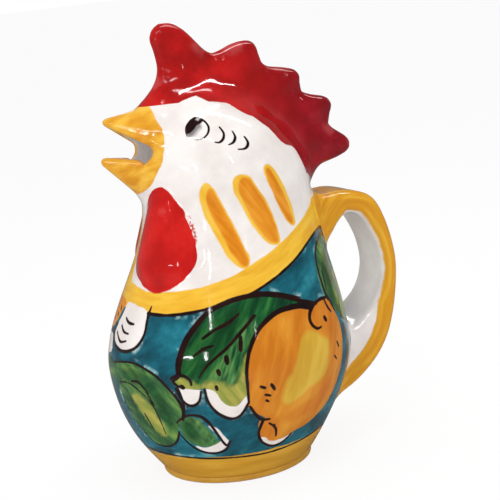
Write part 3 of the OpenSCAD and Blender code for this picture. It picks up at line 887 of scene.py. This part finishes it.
def painted_fields(points):
    """Every drawn form of the pattern as a distance in millimetres, negative inside."""
    turn, high = map_place(points)
    x, y, z = points.T
    side = np.abs(turn)
    left_turn = -turn - (abs(WATTLE_TURNS["wattle_left"]) - WATTLE_TURNS["wattle_right"])
    wattles = np.minimum(*[wattle(x, y, z, middle) for middle in WATTLE_TURNS.values()])
    collar = np.maximum(band(turn, high, COLLAR_TOP), -band(turn, high, COLLAR_LOW))

    def on_throat(area):
        return np.minimum(*[area_field([area], t, high, THROAT_ARC) for t in (turn, left_turn)])

    fields = {name: area_field(areas, side, high, arc) for name, (areas, arc) in SIDE_AREAS.items()}
    fields.update({
        "collar": np.minimum(collar, area_field([FRONT_STRIP], turn, high, THROAT_ARC)),
        "collar_low": band(turn, high, COLLAR_LOW),
        "streak": area_field([FAR_STREAK], turn, high, BELLY_ARC),
        "base": high - BASE_TOP,
        "white": np.minimum(area_field(BUDS.values(), side, high, BELLY_ARC),
                            area_field(FRONT_BUDS.values(), turn, high, BELLY_ARC)),
        "ink": body_ink(turn, high),
        "red": -band(side, high, RED_BORDER),
        "dry": on_throat(WATTLE_DRY),
        "eye_ink": stroke_field(EYE_INK, side, high, CROWN_ARC, LINE_SHARE),
        "wattle": np.minimum(on_throat(WATTLE_RED), wattles + WATTLE_EDGE),
        "beak": np.minimum(area_field([BEAK_ROOT], turn, high, CROWN_ARC), BEAK_FREE - vessel(x, y, z)),
        "handle": handle(x, y, z),
        "comb": comb(x, y, z),
        "comb_edge": np.where(z > COMB_LOW, outline_distance(COMB_OUTLINE, x, z), -REACH),
        "wattle_skin": wattles - WATTLE_SKIN,
        "hollow": inside(x, y, z),
    })
    return fields


def put_field(obj, name, data):
    obj.data.attributes.new(name, "FLOAT", "POINT").data.foreach_set("value", data.astype(np.float32))


def add_fields(obj, names):
    fields = painted_fields(coordinates(obj))
    for name in names:
        put_field(obj, name, np.clip(fields[name], -FIELD_LIMIT, FIELD_LIMIT))


# How far a noise is spread about its middle
CONTRAST = 1.7
# How each brush runs: its rise in degrees, and how fast its noise changes along each axis
BRUSH = {
    "wash": (25, (0.6, 0.6, 1.8)), "rising": (52, (0.4, 0.6, 2.4)), "falling": (-58, (0.4, 0.6, 2.4)),
    "fan": (68, (0.25, 0.6, 2.2)), "rind": (66, (0.3, 0.6, 1.6)), "feather": (-60, (0.25, 0.5, 1.6)),
    "beak": (20, (0.5, 0.8, 1.6)),
}
# The tones of a paint change between these values of its noise, and how softly
TONE_LOW, TONE_SPAN, TONE_SOFT = 0.30, 0.5, 0.8
# How far a painted edge wanders in millimetres, for a roughness of 1
EDGE_SWING = 1.2
# The clear glaze: its index of refraction, the depth of its waves in metres and their large and small shares
GLAZE_INDEX, WAVE_DEPTH, WAVE_SHARES = 1.5, 0.0006, (0.8, 0.2)
# The red turns to crimson between these places behind the middle, in metres, wandering this far
CRIMSON_SPAN, CRIMSON_WANDER, CRIMSON_SHARE = (0.035, 0.095), 0.04, 0.85
# The strap's yellow stops short of its inner face by this, and low down it is this deep at most
HANDLE_WHITE, HANDLE_BAND, HANDLE_LOW = 1.1, 12.0, 85.0
# It runs over the top root this near to the body
HANDLE_ROOT_REACH = 3.0
# The glaze of the base band ends this high on the foot ring
RUN_LOW = 0.7
# Tones of each paint, from the first that its noise lays to the last
WHITES = ("E0D8D4", "E8E1DD", "EEE9E6")
YELLOWS = ("E0A62C", "E8B436", "EDC044")
HANDLE_YELLOWS = ("CE8A20", "D8991F", "E2AC38")
OCHRES = ("CC952A", "D5A033", "DDAA3C")
REDS = ("98100F", "AE1413", "C01B19")
CRIMSONS = ("6E0D18", "830F1D", "9A1626")
WATTLE_REDS = ("B01412", "C41A16", "D0241E")
# The second of these is a paler red for the comb's edge: partly glaze thinned there, partly painted
# reflection.
DRY_RED, EDGE_WEAR_AND_SHEEN_RED, EYE_GREY = ("C4504A",), ("C4686A",), ("4A4648",)
BEAK_YELLOWS = ("D28C20", "E2A632", "EEBE4C")
TEALS = ("093542", "0E4856", "155C6C", "1D7080", "338691")
BARE_TEALS = ("4E9FA9", "9CC4C6", "D0DCD8")
LEAF_GREENS = ("24502E", "386338", "4F7A3F", "74964A")
GREAT_GREENS = ("08301D", "0F4526", "1A5A2A", "377837")
MIDDLE_GREENS = ("3C7A3E", "5E9150", "7FA45C")
LIGHT_GREENS = ("7C8C3E", "9C9A46", "B2A854")
DEEP_GREENS = ("0A3517", "154C22", "27602B")
LEMONS = ("C2701A", "CE7F22", "D88E2A", "DD9A34")
LEMON_DEEPS = ("C06414", "CC7420")
LEMON_LIGHTS = ("C79A30", "D3AA3C", "DDB84E")
INKS = ("140808", "2A0E0C")
ORANGES = ("D07612", "DC871F", "E4962E")
ORANGE_EDGES = ("E4AE30", "EDC24E")
CLAYS = ("B08A66", "C09C78", "CDB090")


def colour(hexa):
    """Linear colour from an sRGB hex string."""
    def lin(c):
        return c / 12.92 if c <= 0.04045 else ((c + 0.055) / 1.055) ** 2.4
    return tuple(lin(int(hexa[i:i + 2], 16) / 255) for i in (0, 2, 4)) + (1.0,)


def new_material(name):
    material = bpy.data.materials.new(name)
    material.use_nodes = True
    material.node_tree.nodes.clear()
    return material


class Nodes:
    """Short ways to add nodes to a tree."""

    def __init__(self, tree):
        self.tree = tree

    def put(self, socket, value):
        if isinstance(value, bpy.types.NodeSocket):
            self.tree.links.new(value, socket)
        else:
            socket.default_value = value

    def node(self, kind, inputs=None, **props):
        node = self.tree.nodes.new(kind)
        for key, value in props.items():
            setattr(node, key, value)
        for key, value in (inputs or {}).items():
            self.put(node.inputs[key], value)
        return node

    def math(self, operation, a, b=0.0, c=0.0):
        return self.node("ShaderNodeMath", {0: a, 1: b, 2: c}, operation=operation).outputs[0]

    def times(self, a, b):
        return self.math("MULTIPLY", a, b)

    def split(self, vector):
        return self.node("ShaderNodeSeparateXYZ", {0: vector}).outputs

    def ramp(self, value, low, high, to_low=0.0, to_high=1.0):
        """A soft step from to_low to to_high, between low and high."""
        inputs = {"Value": value, "From Min": low, "From Max": high, "To Min": to_low, "To Max": to_high}
        return self.node("ShaderNodeMapRange", inputs, interpolation_type="SMOOTHSTEP").outputs["Result"]


class Glaze(Nodes):
    """A material built up in layers of paint under one clear glaze."""

    def __init__(self, name, ground):
        self.material = new_material(name)
        super().__init__(self.material.node_tree)
        self.place = self.node("ShaderNodeTexCoord").outputs["Object"]
        self.wobble = self.noise(160, 3, 0.5)
        self.fine = self.noise(900, 4, 0.6)
        self.blot = self.noise(55, 4, 0.55)
        self.paint = self.brushed(ground, self.blot)

    def noise(self, scale, detail=3.0, rough=0.5, vector=None, stretch=None):
        """Noise about 0.5. Scale is in cells to a metre, stretch a rise in degrees and rates of the axes."""
        vector = vector or self.place
        if stretch:
            turned = {"Vector": vector, "Rotation": (0, -math.radians(stretch[0]), 0),
                      "Scale": [1 / k for k in stretch[1]]}
            vector = self.node("ShaderNodeMapping", turned, vector_type="TEXTURE").outputs[0]
        inputs = {"Vector": vector, "Scale": scale, "Detail": detail, "Roughness": rough}
        cloud = self.node("ShaderNodeTexNoise", inputs).outputs["Fac"]
        return self.math("MULTIPLY_ADD", cloud, CONTRAST, (1 - CONTRAST) / 2)

    def field(self, name):
        return self.node("ShaderNodeAttribute", attribute_name=name).outputs["Fac"]

    def shifted(self, name, noise, reach):
        """A distance field moved to and fro by a noise, by half of reach at most."""
        return self.math("MULTIPLY_ADD", noise, reach, self.math("ADD", self.field(name), -reach / 2))

    def mask(self, field, soft=0.4, shift=0.0, rough=0.7):
        """1 inside a form whose distance field is given, 0 outside, with a brushed edge."""
        if isinstance(field, str):
            field = self.field(field)
        swing = rough * EDGE_SWING
        edge = self.math("MULTIPLY_ADD", self.wobble, swing, -swing / 2 - shift)
        return self.ramp(self.math("ADD", field, edge), soft, -soft)

    def mix(self, mask, low, high):
        inputs = {0: mask, 6: low, 7: high}
        return self.node("ShaderNodeMix", inputs, data_type="RGBA", clamp_factor=True).outputs[2]

    def brushed(self, colours, noise):
        """Several tones of one paint, laid by a noise."""
        out = colour(colours[0])
        step = TONE_SPAN / max(len(colours) - 1, 1)
        for i, tone in enumerate(colours[1:]):
            at, soft = TONE_LOW + step * (i + 0.5), step * TONE_SOFT
            out = self.mix(self.ramp(noise, at - soft, at + soft), out, colour(tone))
        return out

    def layer(self, mask, paint):
        self.paint = self.mix(mask, self.paint, paint)

    def coat(self, field, colours, noise, soft=0.4, shift=0.0, rough=0.7, share=1.0):
        """A layer of one paint on a form, covering by this share."""
        self.layer(self.times(self.mask(field, soft, shift, rough), share), self.brushed(colours, noise))

    def finish(self, rough=0.07, bump=0.25):
        """One clear glaze over the paint, a little uneven."""
        large, small = WAVE_SHARES
        waves = self.math("MULTIPLY_ADD", self.blot, large, self.times(self.wobble, small))
        relief = self.node("ShaderNodeBump", {"Strength": bump, "Distance": WAVE_DEPTH, "Height": waves})
        inputs = {"Base Color": self.paint, "Roughness": rough, "IOR": GLAZE_INDEX,
                  "Normal": relief.outputs[0]}
        shader = self.node("ShaderNodeBsdfPrincipled", inputs)
        self.node("ShaderNodeOutputMaterial", {"Surface": shader.outputs[0]})
        return self.material


def inside_white(g):
    """White glaze in the hollow, where the paint stops at its edge."""
    hollow = g.math("MULTIPLY_ADD", g.wobble, 0.8, g.field("hollow"))
    g.layer(g.ramp(hollow, 1.5, 0.7), g.brushed(WHITES, g.blot))


def red_paint(g):
    """Red that turns to crimson at the back of the comb."""
    tone = g.noise(60, 4, 0.6)
    back = g.ramp(g.math("MULTIPLY_ADD", tone, CRIMSON_WANDER, g.split(g.place)[0]), *CRIMSON_SPAN)
    return g.mix(g.times(back, CRIMSON_SHARE), g.brushed(REDS, tone), g.brushed(CRIMSONS, tone))


def beak_paint(g):
    g.coat("beak", BEAK_YELLOWS, g.noise(110, stretch=BRUSH["beak"]), 0.3)


def along_band(g, name, across, along):
    """Coordinates in which noise is drawn out along a band, from the distance field across it."""
    x, y = g.split(g.place)[:2]
    drawn_out = {0: g.times(g.field(name), MM * across), 1: g.times(x, along), 2: g.times(y, along)}
    return g.node("ShaderNodeCombineXYZ", drawn_out).outputs[0]


def teal_paint(g):
    """A wet wash, pale where it stops short of a line."""
    streaks = g.noise(90, 4, 0.6, stretch=BRUSH["wash"])
    wash = g.math("MULTIPLY_ADD", streaks, 0.35, g.times(g.noise(42, 4, 0.55), 0.66))
    g.coat("collar_low", TEALS, wash, 0.3)
    bare = g.times(g.ramp(g.field("ink"), 2.4, 0.6), g.ramp(g.noise(75, 4, 0.6), 0.54, 0.72))
    g.coat("collar_low", BARE_TEALS, g.wobble, 0.3, share=g.times(bare, 0.7))


def leaf_paint(g):
    """Greens laid along each leaf, dry and yellow towards the light."""
    rising = g.noise(110, 4, 0.6, stretch=BRUSH["rising"])
    falling = g.noise(120, 4, 0.6, stretch=BRUSH["falling"])
    fan = g.noise(190, 3, 0.55, stretch=BRUSH["fan"])
    g.coat("leaf", LEAF_GREENS, falling)
    g.coat("great", GREAT_GREENS, rising)
    g.coat("leaf_middle", MIDDLE_GREENS, rising, 3.0, rough=2.0, share=g.times(g.ramp(fan, 0.3, 0.7), 0.8))
    g.coat(g.shifted("leaf_light", fan, 3.0), LIGHT_GREENS, falling, 1.6, rough=1.6, share=g.mask("leaf"))
    g.coat("leaf_deep", DEEP_GREENS, rising, 2.5, rough=1.6, share=0.75)


def lemon_paint(g):
    rind = g.noise(75, 4, 0.55, stretch=BRUSH["rind"])
    g.coat("lemon", LEMONS, rind)
    g.coat("lemon", LEMONS[:2], rind, share=g.times(g.ramp(g.field("lemon"), -5.5, 0), 0.7))
    g.coat("lemon_deep", LEMON_DEEPS, rind, 2.2, rough=1.5, share=0.6)
    g.coat(g.shifted("lemon_light", rind, 5.0), LEMON_LIGHTS, rind, 1.6, rough=1.5)


def eye_paint(g):
    under = g.ramp(g.field("eye_dark"), 3.6, 0.2)
    g.coat("eye_wash", EYE_GREY, g.blot, 0.9, rough=0.6, share=g.times(under, 0.85))
    g.coat("eye_dark", INKS, g.wobble, 0.35, rough=0.4)
    g.coat("eye_ink", INKS, g.wobble, 0.2, rough=0.2)


def shell_glaze(name):
    """The whole painting, on the body or on the head."""
    g = Glaze(name, WHITES)
    teal_paint(g)
    leaf_paint(g)
    lemon_paint(g)
    g.coat("collar", YELLOWS, g.noise(150, 4, 0.55, vector=along_band(g, "collar_low", 1.6, 0.3)), 0.35)
    g.coat("streak", ORANGES, g.blot)
    g.coat("white", WHITES, g.blot, 0.3, share=g.ramp(g.field("collar_low"), 6.0, 3.5))
    g.coat("handle", HANDLE_YELLOWS, g.blot, shift=2.5)
    g.coat("base", OCHRES, g.noise(120, vector=along_band(g, "base", 1.4, 0.25)))
    g.coat("ink", INKS, g.wobble, 0.25, rough=0.3)
    along = g.noise(170, 3, 0.55, stretch=BRUSH["feather"])
    g.coat("feather_edge", ORANGE_EDGES, along, 0.5)
    g.coat("feather", ORANGES, along, 0.8, share=0.95)
    g.coat("dry", DRY_RED, g.blot, 0.5, share=g.ramp(g.noise(700, 2), 0.35, 0.6))
    g.coat("wattle", WATTLE_REDS, g.blot)
    beak_paint(g)
    g.layer(g.mask("red", rough=1.0), red_paint(g))
    g.layer(g.mask("comb", shift=0.3), red_paint(g))
    eye_paint(g)
    inside_white(g)
    return g.finish()


def red_glaze(name):
    g = Glaze(name, REDS)
    g.layer(1.0, red_paint(g))
    g.coat("wattle_skin", WATTLE_REDS, g.blot)
    # Paler red in patches near the comb's edge: partly glaze thinned at the edge, partly a painted reflection
    # of the bright surroundings.
    edge_wear_and_sheen = g.times(g.ramp(g.field("comb_edge"), -3.0, 1.0), g.ramp(g.blot, 0.54, 0.70))
    g.layer(g.times(edge_wear_and_sheen, 0.25), g.brushed(EDGE_WEAR_AND_SHEEN_RED, g.blot))
    return g.finish()


def beak_glaze(name):
    g = Glaze(name, WHITES)
    beak_paint(g)
    inside_white(g)
    return g.finish()


def handle_glaze(name):
    g = Glaze(name, WHITES)
    along = g.noise(150, 3, 0.55, vector=along_band(g, "strap_out", 1.6, 0.25))
    g.coat("strap_out", HANDLE_YELLOWS, along, 0.5)
    g.coat("root", HANDLE_YELLOWS, g.blot, 0.5)
    return g.finish()


def bare_clay(name):
    """Unglazed clay, with the base band's glaze run down over the outside of the ring."""
    g = Glaze(name, CLAYS)
    g.layer(1.0, g.brushed(CLAYS, g.fine))
    g.coat("run", OCHRES, g.blot, 0.2)
    return g.finish(rough=0.5, bump=0.5)


def make_foot():
    """The foot ring, with a rounded lower edge."""
    inner, edge, top = FOOT_R - FOOT_RIM_W, FOOT_WORN, FOOT_H + FOOT_TUCK
    turns = np.linspace(0, math.pi / 2, FOOT_STEPS)
    profile = [(inner, top), (inner, edge)]
    profile += [(inner + edge * (1 - math.cos(t)), edge * (1 - math.sin(t))) for t in turns[1:]]
    profile += [(FOOT_R - edge + edge * math.sin(t), edge * (1 - math.cos(t))) for t in turns]
    profile += [(FOOT_R, FOOT_H * FOOT_SHOULDER), (FOOT_R, FOOT_H), (FOOT_R - FOOT_TUCK, top)]
    around, n = FOOT_SIDES, len(profile)
    points = [(r * math.cos(a), r * math.sin(a), z) for a in np.arange(around) * 2 * math.pi / around
              for r, z in profile]
    faces = []
    for i in range(around):
        near, far = i * n, (i + 1) % around * n
        faces += [(near + k, far + k, far + (k + 1) % n, near + (k + 1) % n) for k in range(n)]
    obj = new_object("glazed_foot", points, faces)
    x, y, z = coordinates(obj).T
    put_field(obj, "run", np.maximum(RUN_LOW - z, FOOT_R - edge - np.hypot(x, y)))
    obj.data.shade_smooth()
    obj.data.set_sharp_from_angle(angle=FOOT_SHARP)
    obj.data.materials.append(bare_clay("bare_clay"))
    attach(obj, "root")
    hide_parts("foot_ring")


def add_handle_fields(obj):
    """How far a point is from the yellow of the strap's outer side, and from that of its top root."""
    x, y, z = coordinates(obj).T
    away, thick = strap_place(x, z)[:2]
    yellow = np.where(z < HANDLE_LOW, np.minimum(thick - HANDLE_WHITE, HANDLE_BAND), thick - HANDLE_WHITE)
    put_field(obj, "strap_out", thick / 2 + away - yellow)
    put_field(obj, "root", np.maximum(vessel(x, y, z) - HANDLE_ROOT_REACH, HANDLE_LOW - z))


# Half the floor's length, its tone, its tone as mirrored in the glaze, and its share of plain white
FLOOR_REACH, FLOOR_TONE, FLOOR_MIRRORED, FLOOR_GLOW = 60000, 0.9, 0.22, 0.88
# Light of the surroundings at the photographer's side and behind the jug, and its share in the glaze's mirror
WORLD_FRONT, WORLD_BACK, WORLD_MIRRORED = 0.58, 0.95, 0.22
# From here to there, along y of the direction, the first turns into the second
WORLD_SWEEP = -0.5, 0.6
WHITE_LIGHT = (1, 1, 1, 1)
# Lamps: name, place, width and height in metres and power in watts, and the points that they aim at
SOFT_AIM, TUBE_AIM = (0, 0, 0.11), (0, 0, 0.13)
SOFT_LAMPS = [
    ("over", (0.0, -0.25, 1.1), (1.0, 1.0), 2.6),
    ("left", (-1.0, -0.6, 0.4), (0.8, 0.8), 2.2),
    ("right", (0.9, -0.8, 0.45), (0.8, 0.8), 1.2),
]
TUBES = [
    ("tube_high", (-0.35, -0.65, 0.75), (0.5, 0.016), 0.9),
    ("tube_top", (0.1, -0.15, 0.85), (0.6, 0.03), 0.8),
    ("tube_left", (-0.75, -0.45, 0.3), (0.14, 0.012), 0.3),
    ("tube_back", (0.3, 0.7, 0.5), (0.5, 0.03), 0.4),
    ("tube_front", (-0.5, -0.62, 0.62), (0.014, 0.10), 0.2),
    ("tube_side", (0.08, -0.82, 0.46), (0.010, 0.09), 0.07),
    ("tube_comb", (-0.66, -0.72, 0.35), (0.03, 0.12), 0.3),
]
# A faint lamp in the finger gap, for light that strap and body pass to each other: place, aim, size, power
STRAP_LAMP = (0.068, 0.0, 0.09), (0.095, 0.0, 0.108), (0.02, 0.03), 0.0022
# A long card high in front that shows only as a reflection, in lines along the rims of comb and beak
RIM_CARD = (0.34, -0.25, 0.92), (0.34, 0, 0.2), (0.92, 0.04), 5.8
# A faint lamp behind the throat: place, radius and power
MOUTH_LAMP, MOUTH_LAMP_R, MOUTH_LAMP_POWER = (-0.006, 0, 0.166), 0.008, 0.006


def make_floor():
    """White paper that ends beyond the picture."""
    r = FLOOR_REACH
    floor = new_object("floor", [(-r, -r, 0), (r, -r, 0), (r, r, 0), (-r, r, 0)], [(0, 1, 2, 3)])
    paper = new_material("paper")
    n = Nodes(paper.node_tree)
    path = n.node("ShaderNodeLightPath").outputs
    tone = n.ramp(path["Is Glossy Ray"], 0, 1, FLOOR_TONE, FLOOR_MIRRORED)
    diffuse = n.node("ShaderNodeBsdfDiffuse", {"Color": tone})
    glow = n.node("ShaderNodeEmission", {"Color": WHITE_LIGHT, "Strength": 1.0})
    share = n.times(path["Is Camera Ray"], FLOOR_GLOW)
    mix = n.node("ShaderNodeMixShader", {0: share, 1: diffuse.outputs[0], 2: glow.outputs[0]})
    n.node("ShaderNodeOutputMaterial", {"Surface": mix.outputs[0]})
    floor.data.materials.append(paper)


def area_light(name, place, aim, size, power):
    data = bpy.data.lights.new(name, "AREA")
    data.shape = "RECTANGLE"
    data.size, data.size_y = size
    data.energy = power
    lamp = add_object(name, data)
    lamp.location = place
    lamp.rotation_euler = (Vector(aim) - Vector(place)).to_track_quat("-Z", "Y").to_euler()
    return lamp


def make_world():
    world = bpy.data.worlds.new("studio")
    world.use_nodes = True
    n = Nodes(world.node_tree)
    across = n.split(n.node("ShaderNodeTexCoord").outputs["Generated"])["Y"]
    path = n.node("ShaderNodeLightPath").outputs
    sweep = n.ramp(across, *WORLD_SWEEP, WORLD_FRONT, WORLD_BACK)
    level = n.times(sweep, n.ramp(path["Is Glossy Ray"], 0, 1, 1.0, WORLD_MIRRORED))
    background = n.tree.nodes["Background"]
    n.put(background.inputs["Color"], WHITE_LIGHT)
    n.put(background.inputs["Strength"], n.ramp(path["Is Camera Ray"], 0, 1, level, 1.0))
    bpy.context.scene.world = world


def make_light():
    for name, place, size, power in SOFT_LAMPS:
        area_light(name, place, SOFT_AIM, size, power).visible_glossy = False
    for name, place, size, power in TUBES:
        area_light(name, place, TUBE_AIM, size, power)
    area_light("strap", *STRAP_LAMP).visible_glossy = False
    area_light("rim_card", *RIM_CARD).visible_diffuse = False
    data = bpy.data.lights.new("mouth", "POINT")
    data.energy, data.shadow_soft_size = MOUTH_LAMP_POWER, MOUTH_LAMP_R
    lamp = add_object("mouth", data)
    lamp.location = MOUTH_LAMP
    lamp.visible_camera = lamp.visible_glossy = False


# Camera: angles in degrees, distance and target in millimetres, focal length for a film 36 mm wide
CAMERA = {"away": 750.0, "azimuth": -22.0, "elevation": 11.0, "roll": 7.0, "target": (22.0, 0.0, 112.0),
          "lens": 100.08, "film": 36.0}


def make_camera():
    az, el, roll = (math.radians(CAMERA[k]) for k in ("azimuth", "elevation", "roll"))
    back = Vector((math.sin(az) * math.cos(el), -math.cos(az) * math.cos(el), math.sin(el)))
    right = Vector((math.cos(az), math.sin(az), 0))
    up = back.cross(right)
    right, up = right * math.cos(roll) - up * math.sin(roll), up * math.cos(roll) + right * math.sin(roll)
    data = bpy.data.cameras.new("camera")
    data.lens, data.sensor_width, data.clip_start = CAMERA["lens"], CAMERA["film"], 0.01
    camera = add_object("camera", data)
    turn = Matrix((right, up, back)).transposed().to_4x4()
    camera.matrix_world = Matrix.Translation((Vector(CAMERA["target"]) + back * CAMERA["away"]) * MM) @ turn
    bpy.context.scene.camera = camera


SHELL_FIELDS = [
    "collar", "collar_low", "streak", "handle", "base", "leaf", "great", "leaf_light", "leaf_deep", "lemon",
    "leaf_middle", "lemon_light", "lemon_deep", "white", "ink", "feather", "feather_edge", "wattle", "dry",
    "beak", "red", "comb", "eye_ink", "eye_dark", "eye_wash", "hollow",
]
RED_FIELDS = ["comb_edge", "wattle_skin"]
BEAK_FIELDS = ["hollow", "beak"]
# The node that each piece stands for, its glaze and the fields that the glaze reads
PIECES = {
    "body": ("body_shell", "body_glaze", SHELL_FIELDS),
    "head": ("head_shell", "head_glaze", SHELL_FIELDS),
    "comb": ("comb", "red_glaze", RED_FIELDS),
    "wattle_right": ("wattle_right", "red_glaze", RED_FIELDS),
    "wattle_left": ("wattle_left", "red_glaze", RED_FIELDS),
    "upper_beak": ("upper_beak", "beak_glaze", BEAK_FIELDS),
    "lower_beak": ("lower_beak", "beak_glaze", BEAK_FIELDS),
    "handle": ("handle", "handle_glaze", []),
}
GLAZES = {"body_glaze": shell_glaze, "head_glaze": shell_glaze, "red_glaze": red_glaze,
          "beak_glaze": beak_glaze, "handle_glaze": handle_glaze}


def fit_to_box(points):
    """Every point inside the CAD model's box."""
    return np.clip(points, np.array(cad_box[0]) / MM, np.array(cad_box[1]) / MM)


def main():
    points, faces = finer(*surface(jug, SPAN_LOW, SPAN_HIGH, CELL))
    pieces = parted(new_object("whole", fit_to_box(points), faces))
    glazes = {slot: make(slot) for slot, make in GLAZES.items()}
    for name, (node, slot, fields) in PIECES.items():
        obj = pieces[name]
        add_fields(obj, fields)
        if name == "handle":
            add_handle_fields(obj)
        shade(obj)
        obj.data.materials.clear()
        obj.data.materials.append(glazes[slot])
        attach(obj, "root")
        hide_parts(node)
    make_foot()
    make_floor()
    make_world()
    make_light()
    make_camera()
    bpy.context.scene.view_settings.view_transform = "Standard"


main()
